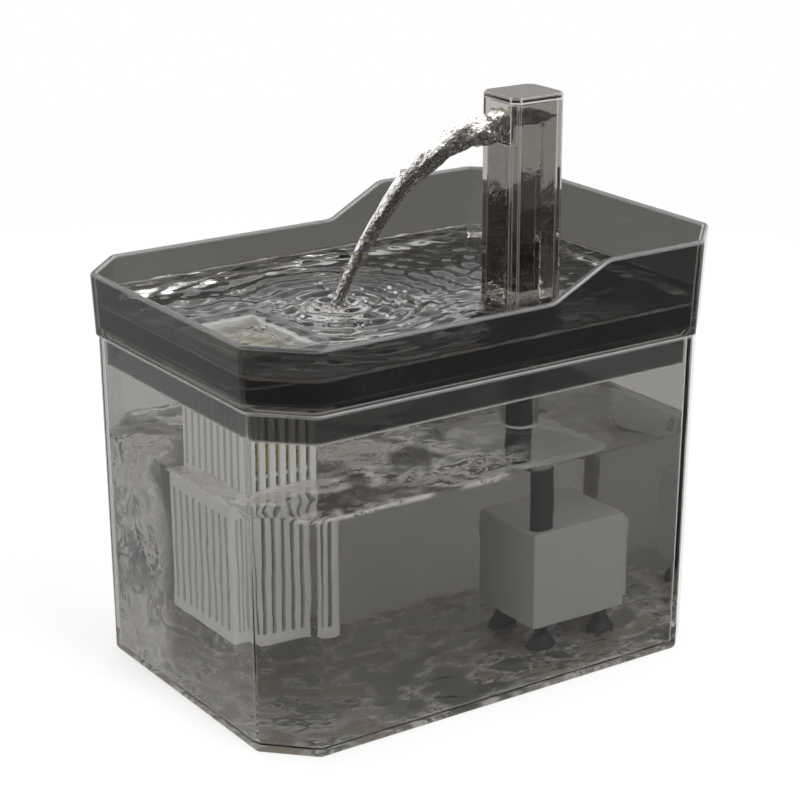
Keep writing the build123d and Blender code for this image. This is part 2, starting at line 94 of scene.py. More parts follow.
# ---------------------------------------------------------------- small tools
class Graph:
    """A node tree with short calls that add nodes and join them."""

    def __init__(self, tree: bpy.types.NodeTree) -> None:
        """Take over a node tree and empty it."""
        self.tree = tree
        tree.nodes.clear()

    def add(self, kind: str, inputs: Optional[dict[Any, Any]] = None, **settings: Any) -> bpy.types.Node:
        """Add a shader node.

        Args:
            kind: The node's type without the leading ShaderNode.
            inputs: Input names or numbers, each with a constant or an output socket.
            **settings: The node's own properties.

        Returns:
            The new node.
        """
        node = self.tree.nodes.new("ShaderNode" + kind)
        for name, value in settings.items():
            setattr(node, name, value)
        for name, value in (inputs or {}).items():
            self.put(node.inputs[name], value)
        return node

    def put(self, socket: bpy.types.NodeSocket, value: Any) -> None:
        """Join an output socket to an input, or set the input to a constant.

        Args:
            socket: The input.
            value: An output socket, a colour or another constant.
        """
        if isinstance(value, bpy.types.NodeSocket):
            self.tree.links.new(value, socket)
        elif isinstance(value, tuple) and len(value) == 3 and socket.type == "RGBA":
            socket.default_value = (*value, 1.0)
        else:
            socket.default_value = value

    def place(self, scale: Point = (1.0, 1.0, 1.0)) -> bpy.types.NodeSocket:
        """Return object coordinates, stretched by a scale."""
        coordinates = self.add("TexCoord").outputs["Object"]
        return self.add("Mapping", {"Vector": coordinates, "Scale": scale}).outputs["Vector"]

    def facing(self) -> bpy.types.NodeSocket:
        """Return how much a face looks up, from -1 to 1."""
        normal = self.add("NewGeometry").outputs["Normal"]
        return self.add("SeparateXYZ", {0: normal}).outputs["Z"]

    def grain(
        self, place: bpy.types.NodeSocket, scale: float, detail: float = 4.0, curl: float = 0.0
    ) -> bpy.types.NodeSocket:
        """Return a noise value from 0 to 1 at a scale in repeats per metre."""
        settings = {"Vector": place, "Scale": scale, "Detail": detail, "Distortion": curl}
        return self.add("TexNoise", settings).outputs[0]

    def between(self, value: bpy.types.NodeSocket, low: float, high: float) -> bpy.types.NodeSocket:
        """Stretch a value from 0..1 to low..high."""
        return self.add("MapRange", {"Value": value, "To Min": low, "To Max": high}).outputs[0]

    def rise(self, value: bpy.types.NodeSocket, low: float, high: float) -> bpy.types.NodeSocket:
        """Return 0 below low, 1 above high, and a smooth rise between."""
        span = {"Value": value, "From Min": low, "From Max": high}
        return self.add("MapRange", span, interpolation_type="SMOOTHSTEP").outputs[0]

    def fall(self, value: bpy.types.NodeSocket, low: float, high: float) -> bpy.types.NodeSocket:
        """Return 1 below low, 0 above high, and a smooth fall between."""
        return self.maths("SUBTRACT", 1.0, self.rise(value, low, high))

    def maths(self, operation: str, first: Any, second: Any = 0.0) -> bpy.types.NodeSocket:
        """Return the result of a sum on one or two values or sockets."""
        return self.add("Math", {0: first, 1: second}, operation=operation).outputs[0]

    def blend(self, share: bpy.types.NodeSocket, first: Any, second: Any) -> bpy.types.NodeSocket:
        """Mix two colours by a share from 0 to 1."""
        return self.add("MixRGB", {"Fac": share, "Color1": first, "Color2": second}).outputs["Color"]

    def bump(self, height: bpy.types.NodeSocket, depth: float) -> bpy.types.NodeSocket:
        """Return a normal bent by a height, whose full range stands for a depth in metres."""
        return self.add("Bump", {"Height": height, "Distance": depth}).outputs["Normal"]

    def edge(self, width: float, share: float) -> bpy.types.NodeSocket:
        """Return a share on edges, and 0 on flat faces.

        Args:
            width: How far an edge reaches from its corner, in metres.
            share: The value on the edge.

        Returns:
            The value's socket.
        """
        rounded = self.add("Bevel", {"Radius": width}, samples=EDGE_SAMPLES).outputs[0]
        flat = self.add("NewGeometry").outputs["Normal"]
        same = self.add("VectorMath", {0: rounded, 1: flat}, operation="DOT_PRODUCT").outputs["Value"]
        return self.maths("MULTIPLY", self.fall(same, EDGE_TURNED, EDGE_FLAT), share)

    def absorb(self, through: Colour, depth: float) -> bpy.types.NodeSocket:
        """Return a volume that takes light away as it goes deeper.

        Args:
            through: The share of red, green and blue that comes through the depth.
            depth: The depth in metres.

        Returns:
            The volume's socket.
        """
        taken = [-math.log(share) / depth for share in through]
        density = max(taken)
        tint = tuple(1.0 - each / density for each in taken)
        return self.add("VolumeAbsorption", {"Color": tint, "Density": density}).outputs[0]

    def straight_through(self) -> bpy.types.NodeSocket:
        """Return 1 on rays that carry light to what is behind or inside a clear piece, else 0."""
        path = self.add("LightPath").outputs
        return self.maths("MAXIMUM", path["Is Shadow Ray"], path["Is Diffuse Ray"])

    def clear_body(
        self, output: bpy.types.Node, faces: bpy.types.Node, through: Colour, depth: float
    ) -> None:
        """Join the faces and the inside of a clear material to its output.

        Args:
            output: The material's output node.
            faces: The shader of its faces.
            through: The share of each colour that comes through the depth.
            depth: The depth in metres.
        """
        clear = self.add("BsdfTransparent", {"Color": PURE_WHITE})
        mix = self.add("MixShader", {0: self.straight_through(), 1: faces.outputs[0], 2: clear.outputs[0]})
        self.put(output.inputs["Surface"], mix.outputs[0])
        self.put(output.inputs["Volume"], self.absorb(through, depth))


def new_material(name: str) -> tuple[bpy.types.Material, Graph, bpy.types.Node]:
    """Make an empty material.

    Args:
        name: The material's name.

    Returns:
        The material, its graph and its output node.
    """
    material = bpy.data.materials.new(name)
    material.use_nodes = True
    graph = Graph(material.node_tree)
    return material, graph, graph.add("OutputMaterial")


@cache
def material_of(finish: Any) -> bpy.types.Material:
    """Return a finish's material, built once."""
    return finish.material()


def dress(node: str, finish: Any) -> None:
    """Give a CAD node its finish.

    Args:
        node: The node's name.
        finish: The finish, such as a clear plastic or a metal.
    """
    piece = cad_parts[node]
    material = material_of(finish)
    if not piece.material_slots:
        piece.data.materials.append(material)
    for slot in piece.material_slots:
        slot.material = material


@cache
def box_of(node: str) -> tuple[Vector, Vector]:
    """Return a CAD node's lowest and highest corner, measured once."""
    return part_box(node)


def ripple(x: float, y: float, z: float, size: float) -> float:
    """Return smooth noise from about -1 to 1, with bumps of about a size in metres."""
    return noise.noise(Vector((x / size, y / size, z / size)))


@dataclass(frozen=True)
class Ripples:
    """One layer of ripples: its height, its size, its stretch and where it is cut from the noise."""

    height: float
    size: float
    stretch: Point = (1.0, 1.0, 1.0)
    layer: float = 0.0

    def at(self, x: float, y: float, z: float = 0.0) -> float:
        """Return the layer's height at a place."""
        along, across, up = self.stretch
        return self.height * ripple(x * along, y * across, z * up + self.layer, self.size)


# ---------------------------------------------------------------- kinds of finish
@dataclass(frozen=True)
class PaintedLightSwirls:
    """Painted light that ripples throw: bright curling lines in broken patches, white and brownish."""

    size: float = 0.011
    stretch: Point = (0.6, 1.0, 0.9)
    curl: float = 1.6
    detail: float = 2.0
    coarse_width: float = 0.30
    fine_width: float = 0.16
    patch: float = 0.022
    patch_edge: tuple[float, float] = (0.40, 0.56)
    share: float = 0.97
    net_width: float = 0.26
    net_depth: float = 0.85
    # The painted light's colours: white, and a brownish tint in patches.
    white: Colour = (0.98, 0.98, 0.97)
    painted_brown: Colour = (0.44, 0.36, 0.29)
    painted_brown_edge: tuple[float, float] = (0.5, 0.6)

    def ridges(self, graph: Graph, size: float, width: float) -> bpy.types.NodeSocket:
        """Return thin curling lines, from 0 to 1.

        Args:
            graph: The material's graph.
            size: About how far the lines stand apart, in metres.
            width: How wide a line is, as a share of the noise's range about its middle.

        Returns:
            The lines' socket.
        """
        swirl = graph.grain(graph.place(self.stretch), 1.0 / size, self.detail, self.curl)
        doubled = graph.maths("MULTIPLY", swirl, 2.0)
        valley = graph.maths("ABSOLUTE", graph.maths("SUBTRACT", doubled, 1.0))
        return graph.fall(valley, 0.0, width)

    def lines(self, graph: Graph) -> bpy.types.NodeSocket:
        """Return the broken lines, coarse and fine, from 0 to 1.

        Args:
            graph: The material's graph.

        Returns:
            The lines' socket.
        """
        coarse = self.ridges(graph, self.size, self.coarse_width)
        fine = self.ridges(graph, 0.5 * self.size, self.fine_width)
        parts = graph.rise(graph.grain(graph.place(), 1.0 / self.patch, self.detail), *self.patch_edge)
        return graph.maths("MULTIPLY", graph.maths("MAXIMUM", coarse, fine), parts)

    def net(self, graph: Graph) -> bpy.types.NodeSocket:
        """Return a field of painted light from 0 to 1 that dark curling lines part into cells."""
        dark = graph.maths("MULTIPLY", self.ridges(graph, self.size, self.net_width), self.net_depth)
        return graph.maths("SUBTRACT", 1.0, dark)

    def where(self, graph: Graph) -> bpy.types.NodeSocket:
        """Return the painted light as a value from 0 to its share."""
        return graph.maths("MULTIPLY", self.lines(graph), self.share)

    def colour(self, graph: Graph) -> bpy.types.NodeSocket:
        """Return the painted light's colour, white with brownish patches."""
        patches = graph.rise(graph.grain(graph.place(), 1.0 / self.patch, 1.0), *self.painted_brown_edge)
        return graph.blend(patches, self.white, self.painted_brown)


@dataclass(frozen=True)
class FloorPaintedLight(PaintedLightSwirls):
    """Painted caustic light on the upper face of the tank's floor, thickest at the filter's end."""

    size: float = 0.0075
    floor: float = 0.003
    reach: float = 0.0015
    looks_up: tuple[float, float] = (0.5, 0.9)
    end_x: float = -0.09
    end_run: float = 0.08
    painted_end_share: float = 0.9

    def where(self, graph: Graph) -> bpy.types.NodeSocket:
        """Return the painted light as a value from 0 to its share, on faces that look up.

        Args:
            graph: The material's graph.

        Returns:
            The value's socket.
        """
        x, _, z = graph.add("SeparateXYZ", {0: graph.place()}).outputs
        low = graph.fall(z, self.floor, self.floor + self.reach)
        region = graph.maths("MULTIPLY", low, graph.rise(graph.facing(), *self.looks_up))
        # Painted light lies over the whole floor near the filter's end, parted into cells.
        painted_end_light = graph.maths("MULTIPLY", graph.fall(x, self.end_x, self.end_x + self.end_run), self.painted_end_share)
        lit = graph.maths("MAXIMUM", self.lines(graph), graph.maths("MULTIPLY", painted_end_light, self.net(graph)))
        return graph.maths("MULTIPLY", graph.maths("MULTIPLY", lit, region), self.share)


@dataclass(frozen=True)
class WaterPaintedLight(PaintedLightSwirls):
    """Painted light on the water's surface over the busy end, and on its end face beside the filter."""

    painted_brown: Colour = (0.72, 0.68, 0.62)
    end_x: float = -0.098
    end_run: float = 0.016
    end_share: float = 0.85
    beside_y: float = 0.004
    beside_run: float = 0.016
    soft_patch_size: float = 0.02
    soft_patch_edge: tuple[float, float] = (0.35, 0.6)
    soft_patch_share: float = 0.8
    surface: float = 0.0875
    crest: float = 0.002
    busy_x: float = -0.005
    busy_run: float = 0.04

    def where(self, graph: Graph) -> bpy.types.NodeSocket:
        """Return the painted light as a value from 0 to its share.

        Args:
            graph: The material's graph.

        Returns:
            The value's socket.
        """
        x, y, z = graph.add("SeparateXYZ", {0: graph.place()}).outputs
        end = graph.maths("MULTIPLY", graph.fall(x, self.end_x, self.end_x + self.end_run), self.end_share)
        end = graph.maths("MULTIPLY", end, graph.rise(y, self.beside_y, self.beside_y + self.beside_run))
        # Painted light in soft patches on the end face beside the filter.
        painted_soft_patches = graph.grain(graph.place(), 1.0 / self.soft_patch_size, self.detail)
        painted_soft_patches = graph.maths("MULTIPLY", graph.rise(painted_soft_patches, *self.soft_patch_edge), end)
        painted_soft_patches = graph.maths("MULTIPLY", graph.maths("MULTIPLY", painted_soft_patches, self.soft_patch_share), self.net(graph))
        # Painted light on the crests of the water's top over the busy end.
        top = graph.rise(z, self.surface, self.surface + self.crest)
        crest = graph.maths("MULTIPLY", top, graph.fall(x, self.busy_x, self.busy_x + self.busy_run))
        lit = graph.maths("MULTIPLY", self.lines(graph), graph.maths("MAXIMUM", end, crest))
        return graph.maths("MULTIPLY", graph.maths("MAXIMUM", lit, painted_soft_patches), self.share)


@dataclass(frozen=True)
class WaterLinePaintedHighlight(PaintedLightSwirls):
    """A painted highlight: the bright broken line where a water surface creeps up the walls."""

    level: float = 0.1405
    height: float = 0.0011
    base: float = 0.35
    upright: tuple[float, float] = (0.5, 0.8)

    def where(self, graph: Graph) -> bpy.types.NodeSocket:
        """Return the line as a value from 0 to its share, on faces that stand upright.

        Args:
            graph: The material's graph.

        Returns:
            The value's socket.
        """
        _, _, z = graph.add("SeparateXYZ", {0: graph.place()}).outputs
        band = graph.rise(z, self.level - self.height, self.level - 0.5 * self.height)
        upright = graph.fall(graph.maths("ABSOLUTE", graph.facing()), *self.upright)
        # The painted highlight keeps at least its base brightness along the whole line.
        lit = graph.maths("MAXIMUM", self.lines(graph), self.base)
        shown = graph.maths("MULTIPLY", lit, graph.maths("MULTIPLY", band, upright))
        return graph.maths("MULTIPLY", shown, self.share)


@dataclass(frozen=True)
class ClearPlastic:
    """Clear tinted plastic: glossy faces, a tint that deepens with thickness, faint moulding waves, painted
    highlights on its edges, and any painted light it is given.
    """

    name: str
    wall: float
    through: Colour
    face_tint: Colour
    ior: float = 1.2
    edge_width: float = 0.0012
    painted_edge_highlight: float = 1.0
    edge_highlight_colour: Colour = (0.95, 0.95, 0.95)
    painted_light: Optional[PaintedLightSwirls] = None
    wave_size: float = 0.03
    wave_depth: float = 0.00002
    wave_detail: float = 2.0
    haze: float = 0.012
    haze_repeats: float = 900.0

    def material(self) -> bpy.types.Material:
        """Build the material.

        Returns:
            The new material.
        """
        material, graph, output = new_material(self.name)
        place = graph.place()
        waves = graph.grain(place, 1.0 / self.wave_size, self.wave_detail)
        # Painted highlight: the edges turn pale and stop letting light through.
        edge = graph.edge(self.edge_width, self.painted_edge_highlight)
        # Painted light, where given, tints the faces and stops light through them too.
        if self.painted_light:
            lit = self.painted_light.where(graph)
            tint = graph.blend(lit, self.face_tint, self.painted_light.colour(graph))
            shown = graph.maths("MAXIMUM", lit, edge)
        else:
            tint = graph.blend(edge, self.face_tint, self.edge_highlight_colour)
            shown = edge
        faces = graph.add(
            "BsdfPrincipled",
            {
                "Base Color": tint,
                "Roughness": graph.between(graph.grain(place, self.haze_repeats), 0.0, self.haze),
                "IOR": self.ior,
                "Transmission Weight": graph.maths("SUBTRACT", 1.0, shown),
                "Normal": graph.bump(waves, self.wave_depth),
            },
        )
        graph.clear_body(output, faces, self.through, self.wall)
        return material


@dataclass(frozen=True)
class Water:
    """Water that darkens with depth, with fine wrinkles that the mesh is too coarse for, and any painted
    light it is given.
    """

    name: str
    wrinkle_size: float
    wrinkle_depth: float
    through: Colour
    depth: float = 0.1
    tint: Colour = PURE_WHITE
    cloud: float = 0.0
    roughness: float = 0.0
    ior: float = 1.333
    wrinkle_detail: float = 3.0
    painted_light: Optional[PaintedLightSwirls] = None

    def material(self) -> bpy.types.Material:
        """Build the material.

        Returns:
            The new material.
        """
        material, graph, output = new_material(self.name)
        wrinkles = graph.grain(graph.place(), 1.0 / self.wrinkle_size, self.wrinkle_detail)
        tint: Any = self.tint
        clearness: Any = 1.0 - self.cloud
        # Painted light, where given, tints the water's faces and stops light through them.
        if self.painted_light:
            lit = self.painted_light.where(graph)
            tint = graph.blend(lit, self.tint, self.painted_light.colour(graph))
            clearness = graph.maths("SUBTRACT", 1.0, lit)
        faces = graph.add(
            "BsdfPrincipled",
            {
                "Base Color": tint,
                "Roughness": self.roughness,
                "IOR": self.ior,
                "Transmission Weight": clearness,
                "Normal": graph.bump(wrinkles, self.wrinkle_depth),
            },
        )
        graph.clear_body(output, faces, self.through, self.depth)
        return material


@dataclass(frozen=True)
class Moulded:
    """Opaque moulded plastic or rubber: fine grain, slight mottling and uneven gloss."""

    name: str
    colour: Colour
    roughness: float
    smoother: float = 0.05
    rougher: float = 0.08
    grain_size: float = 0.0004
    grain_depth: float = 0.00003
    mottle: float = 0.06
    mottle_repeats: float = 60.0

    def material(self) -> bpy.types.Material:
        """Build the material.

        Returns:
            The new material.
        """
        material, graph, output = new_material(self.name)
        place = graph.place()
        fine = graph.grain(place, 1.0 / self.grain_size)
        broad = graph.grain(place, self.mottle_repeats)
        light = tuple(min(1.0, channel * (1.0 + self.mottle)) for channel in self.colour)
        dark = tuple(channel * (1.0 - self.mottle) for channel in self.colour)
        low, high = self.roughness - self.smoother, self.roughness + self.rougher
        skin = graph.add(
            "BsdfPrincipled",
            {
                "Base Color": graph.blend(broad, dark, light),
                "Roughness": graph.between(fine, low, high),
                "Normal": graph.bump(fine, self.grain_depth),
            },
        )
        graph.put(output.inputs["Surface"], skin.outputs[0])
        return material


@dataclass(frozen=True)
class Metal:
    """Metal with fine bands across one axis, such as stacked sheets or wound wire."""

    name: str
    colour: Colour
    roughness: float
    band: float
    direction: str
    band_depth: float = 0.0002
    waver: float = 0.2
    shade: float = 0.6
    rougher: float = 0.15
    grain_repeats: float = 800.0

    def material(self) -> bpy.types.Material:
        """Build the material.

        Returns:
            The new material.
        """
        material, graph, output = new_material(self.name)
        place = graph.place()
        bands = graph.add(
            "TexWave",
            {"Vector": place, "Scale": 1.0 / self.band / math.tau * 0.5, "Distortion": self.waver},
            bands_direction=self.direction,
        ).outputs[1]
        dark = tuple(channel * self.shade for channel in self.colour)
        grain = graph.grain(place, self.grain_repeats)
        skin = graph.add(
            "BsdfPrincipled",
            {
                "Base Color": graph.blend(bands, dark, self.colour),
                "Metallic": 1.0,
                "Roughness": graph.between(grain, self.roughness, self.roughness + self.rougher),
                "Normal": graph.bump(bands, self.band_depth),
            },
        )
        graph.put(output.inputs["Surface"], skin.outputs[0])
        return material


@dataclass(frozen=True)
class OpenFoam:
    """Open-cell foam: a pale yellow skeleton, with painted shade in its pores."""

    name: str
    colour: Colour
    # The pores' darker colour is painted shade.
    pore: Colour
    cell: float
    pore_edge: tuple[float, float] = (0.15, 0.6)
    pore_depth: float = 0.0006
    roughness: tuple[float, float] = (0.75, 0.95)
    grain_repeats: float = 2000.0
    glow: float = 0.2
    glow_depth: float = 0.002

    def material(self) -> bpy.types.Material:
        """Build the material.

        Returns:
            The new material.
        """
        material, graph, output = new_material(self.name)
        place = graph.place()
        cells = graph.add("TexVoronoi", {"Vector": place, "Scale": 1.0 / self.cell}).outputs["Distance"]
        low, high = self.pore_edge
        walls = graph.add("MapRange", {"Value": cells, "From Min": low, "From Max": high}).outputs[0]
        skin = graph.add(
            "BsdfPrincipled",
            {
                # Painted shade: the pores take the darker colour.
                "Base Color": graph.blend(walls, self.pore, self.colour),
                "Roughness": graph.between(graph.grain(place, self.grain_repeats), *self.roughness),
                "Subsurface Weight": self.glow,
                "Subsurface Scale": self.glow_depth,
                "Normal": graph.bump(walls, self.pore_depth),
            },
        )
        graph.put(output.inputs["Surface"], skin.outputs[0])
        return material


# ---------------------------------------------------------------- the fountain's finishes
SMOKE = ClearPlastic(
    "clear_smoke", wall=0.0026, through=(0.97, 0.968, 0.965), face_tint=(0.52, 0.516, 0.508)
)
# The tank's plastic carries painted caustic light on its floor.
TANK_SMOKE = replace(SMOKE, name="tank_smoke", painted_light=FloorPaintedLight())
DEEP_SMOKE = ClearPlastic(
    "deep_smoke", wall=0.0024, through=(0.96, 0.955, 0.95), face_tint=(0.125, 0.121, 0.114)
)
# The tower's painted edge highlight is narrower and weaker.
TOWER_SMOKE = ClearPlastic(
    "tower_smoke",
    wall=0.0022,
    through=(0.96, 0.955, 0.95),
    face_tint=(0.50, 0.485, 0.465),
    edge_width=0.0006,
    painted_edge_highlight=0.5,
)
SMOKE_CAP = ClearPlastic(
    "cap_brown", wall=0.0022, through=(0.70, 0.66, 0.60), face_tint=(0.52, 0.48, 0.43)
)
DARK_FRAME = ClearPlastic(
    "dark_smoke", wall=0.002, through=(0.45, 0.43, 0.40), face_tint=(0.35, 0.33, 0.30)
)
WHITE = Moulded("filter_white", (0.84, 0.84, 0.825), 0.42)
GREY = Moulded("pump_grey", (0.62, 0.62, 0.62), 0.5)
DARK_GREY = Moulded("pump_dark", (0.08, 0.08, 0.08), 0.45)
RUBBER = Moulded("rubber_black", (0.022, 0.022, 0.022), 0.45)
IMPELLER_WHITE = Moulded("impeller_white", (0.80, 0.80, 0.78), 0.4)
CERAMIC = Moulded("ceramic", (0.88, 0.87, 0.84), 0.15, mottle=0.02)
EPOXY = Moulded("epoxy", (0.03, 0.03, 0.033), 0.2, grain_size=0.004)
FERRITE = Moulded("ferrite", (0.09, 0.09, 0.09), 0.55)
CORE = Metal("core_steel", (0.45, 0.45, 0.46), 0.35, band=0.0005, direction="Y")
COPPER = Metal("copper", (0.72, 0.38, 0.20), 0.3, band=0.0004, direction="Z")
# The foam's second colour is painted shade in its pores.
FOAM = OpenFoam("foam_yellow", (0.86, 0.80, 0.36), (0.42, 0.38, 0.10), cell=0.0016)
# The tray's water carries a painted highlight along its water line.
WATER = Water(
    "water",
    wrinkle_size=0.004,
    wrinkle_depth=0.00004,
    through=(0.10, 0.096, 0.088),
    painted_light=WaterLinePaintedHighlight(),
)
# The tank's water carries painted light over its busy end and on its end face.
TANK_WATER = Water(
    "water_in_tank",
    wrinkle_size=0.006,
    wrinkle_depth=0.0001,
    through=(0.55, 0.542, 0.525),
    painted_light=WaterPaintedLight(),
)
TOWER_WATER = Water(
    "water_in_tower", wrinkle_size=0.003, wrinkle_depth=0.0002, through=(0.25, 0.235, 0.22)
)
WILD_WATER = Water(
    "water_in_fall",
    wrinkle_size=0.0013,
    wrinkle_depth=0.0009,
    through=(0.10, 0.08, 0.06),
    tint=(0.62, 0.57, 0.50),
    cloud=0.03,
)


# ---------------------------------------------------------------- meshes
def smooth_object(name: str, mesh: bpy.types.Mesh) -> bpy.types.Object:
    """Shade a mesh smooth and put it in the scene.

    Args:
        name: The new object's name.
        mesh: Its mesh.

    Returns:
        The new object.
    """
    mesh.polygons.foreach_set("use_smooth", [True] * len(mesh.polygons))
    mesh.update()
    piece = bpy.data.objects.new(name, mesh)
    bpy.context.scene.collection.objects.link(piece)
    return piece


def skin_over(name: str, rings: Sequence[Ring], first: Point, last: Point) -> bpy.types.Object:
    """Close a solid over rings of points that all have the same count.

    Args:
        name: The new object's name.
        rings: The rings in order, each counter-clockwise seen from the far end.
        first: The point that closes the first ring.
        last: The point that closes the last ring.

    Returns:
        The new object, shaded smooth.
    """
    count = len(rings[0])
    points: list[Point] = [first]
    for ring in rings:
        points.extend(ring)
    points.append(last)
    base = 1 + (len(rings) - 1) * count
    end = len(points) - 1
    afters = [(j + 1) % count for j in range(count)]
    faces: list[tuple[int, ...]] = [(0, 1 + after, 1 + j) for j, after in enumerate(afters)]
    for i in range(len(rings) - 1):
        low, high = 1 + i * count, 1 + (i + 1) * count
        faces.extend((low + j, low + after, high + after, high + j) for j, after in enumerate(afters))
    faces.extend((base + j, base + after, end) for j, after in enumerate(afters))
    mesh = bpy.data.meshes.new(name)
    mesh.from_pydata(points, [], faces)
    return smooth_object(name, mesh)


def scatter_beads(name: str, beads: list[tuple[Vector, float]]) -> bpy.types.Object:
    """Make one object of many small round beads of water.

    Args:
        name: The new object's name.
        beads: Each bead's place and radius.

    Returns:
        The new object.
    """
    shape = bmesh.new()
    for place, radius in beads:
        matrix = Matrix.Translation(place) @ Matrix.Scale(radius, 4)
        bmesh.ops.create_icosphere(shape, subdivisions=2, radius=1.0, matrix=matrix)
    mesh = bpy.data.meshes.new(name)
    shape.to_mesh(mesh)
    shape.free()
    return smooth_object(name, mesh)


@dataclass(frozen=True)
class EightSidedPlan:
    """An eight-sided plan with rounded corners, with the same number of points at every inset."""

    half_length: float
    half_depth: float
    cut: float
    corner_radius: float
    side_steps: int
    end_steps: int
    diagonal_steps: int
    arc_steps: int = 4
    centre: tuple[float, float] = (0.0, 0.0)

    def diagonal(self, inset: float) -> float:
        """Return the sum of x and y along a cut corner of the plan drawn in by an inset."""
        return self.half_length + self.half_depth - self.cut - inset * math.sqrt(2.0)

    def corners(self, inset: float) -> list[Vector]:
        """Return the eight corner points of the plan drawn in by an inset.

        Args:
            inset: How far the plan is drawn in from its outer size.

        Returns:
            The points about the origin, counter-clockwise.
        """
        length = self.half_length - inset
        depth = self.half_depth - inset
        diagonal = self.diagonal(inset)
        quarter = [(length, diagonal - length), (diagonal - depth, depth)]
        mirrored = [(-x, y) for x, y in reversed(quarter)]
        half = quarter + mirrored
        return [Vector(point) for point in half] + [Vector((-x, -y)) for x, y in half]

    def outline(self, inset: float) -> list[tuple[float, float]]:
        """Return the plan's points at an inset, counter-clockwise.

        Args:
            inset: How far the plan is drawn in from its outer size.

        Returns:
            The points, about the plan's centre.
        """
        corners = self.corners(inset)
        steps = [self.diagonal_steps, self.side_steps, self.diagonal_steps, self.end_steps] * 2
        turn = math.pi / SIDES
        reach = self.corner_radius * math.tan(turn)
        points: list[tuple[float, float]] = []
        for i, corner in enumerate(corners):
            following = corners[(i + 1) % SIDES]
            before = (corners[i - 1] - corner).normalized()
            after = (following - corner).normalized()
            middle = corner + (before + after).normalized() * self.corner_radius / math.cos(turn)
            start = corner + before * reach - middle
            for j in range(self.arc_steps):
                angle = 2.0 * turn * j / self.arc_steps
                spoke = Vector(
                    (
                        start.x * math.cos(angle) - start.y * math.sin(angle),
                        start.x * math.sin(angle) + start.y * math.cos(angle),
                    )
                )
                points.append(tuple(middle + spoke))
            run_start = corner + after * reach
            run = following - after * reach - run_start
            for j in range(steps[i]):
                points.append(tuple(run_start + run * j / steps[i]))
        return [(x + self.centre[0], y + self.centre[1]) for x, y in points]

    def to_edge(self, x: float, y: float, inset: float) -> float:
        """Return how far a point is inside the plan drawn in by an inset.

        Args:
            x: The point's x.
            y: The point's y.
            inset: How far the plan is drawn in from its outer size.

        Returns:
            The distance to the nearest side, below 0 outside it.
        """
        x, y = abs(x - self.centre[0]), abs(y - self.centre[1])
        to_cut = (self.diagonal(inset) - x - y) / math.sqrt(2.0)
        return min(self.half_length - inset - x, self.half_depth - inset - y, to_cut)


@dataclass(frozen=True)
class StandingWater:
    """A closed body of water that fills a plan between a bottom and a rippled top."""

    name: str
    plan: EightSidedPlan
    inset_at: Callable[[float], float]
    bottom: Callable[[float, float], float]
    surface: Callable[[float, float], float]
    side_wave: Callable[[float, float, float], float]
    ring_count: int
    level_count: int

    def rings_at(self, z: float) -> list[list[tuple[float, float]]]:
        """Return rings that grow from the centre to the plan's edge at a height.

        Args:
            z: The height.

        Returns:
            The rings, each as places in plan.
        """
        cx, cy = self.plan.centre
        edge = self.plan.outline(self.inset_at(z))
        return [
            [(cx + (x - cx) * k / self.ring_count, cy + (y - cy) * k / self.ring_count) for x, y in edge]
            for k in range(1, self.ring_count + 1)
        ]

    def build(self) -> bpy.types.Object:
        """Build the closed mesh: bottom rings outwards, walls upwards, surface rings inwards.

        Returns:
            The new object.
        """
        cx, cy = self.plan.centre
        low = self.bottom(cx, cy)
        high = self.surface(cx, cy)
        floor_rings = [[(x, y, self.bottom(x, y)) for x, y in ring] for ring in self.rings_at(low)]
        top_rings = [[(x, y, self.surface(x, y)) for x, y in ring] for ring in self.rings_at(high)]
        wall_rings: list[Ring] = []
        for level in range(1, self.level_count):
            share = level / self.level_count
            fade = math.sin(math.pi * share)
            edge = self.plan.outline(self.inset_at(low + (high - low) * share))
            ring: Ring = []
            for (x, y), under, over in zip(edge, floor_rings[-1], top_rings[-1]):
                z = under[2] * (1.0 - share) + over[2] * share
                pull = 1.0 - self.side_wave(x, y, z) * fade / self.plan.half_depth
                ring.append((cx + (x - cx) * pull, cy + (y - cy) * pull, z))
            wall_rings.append(ring)
        rings = floor_rings + wall_rings + list(reversed(top_rings))
        return skin_over(self.name, rings, (cx, cy, low), (cx, cy, high))


# ---------------------------------------------------------------- sub-assemblies
@dataclass(frozen=True)
class Landing:
    """Where the stream meets the tray's water, and the rings that it makes."""

    x: float = -0.0271
    y: float = 0.0021
    ring: float = 0.0085
    height: float = 0.0007
    fade: float = 0.05

    def rings(self, x: float, y: float) -> float:
        """Return the height of the rings round the landing place."""
        away = math.hypot(x - self.x, y - self.y)
        return self.height * math.exp(-away / self.fade) * math.cos(math.tau * away / self.ring)


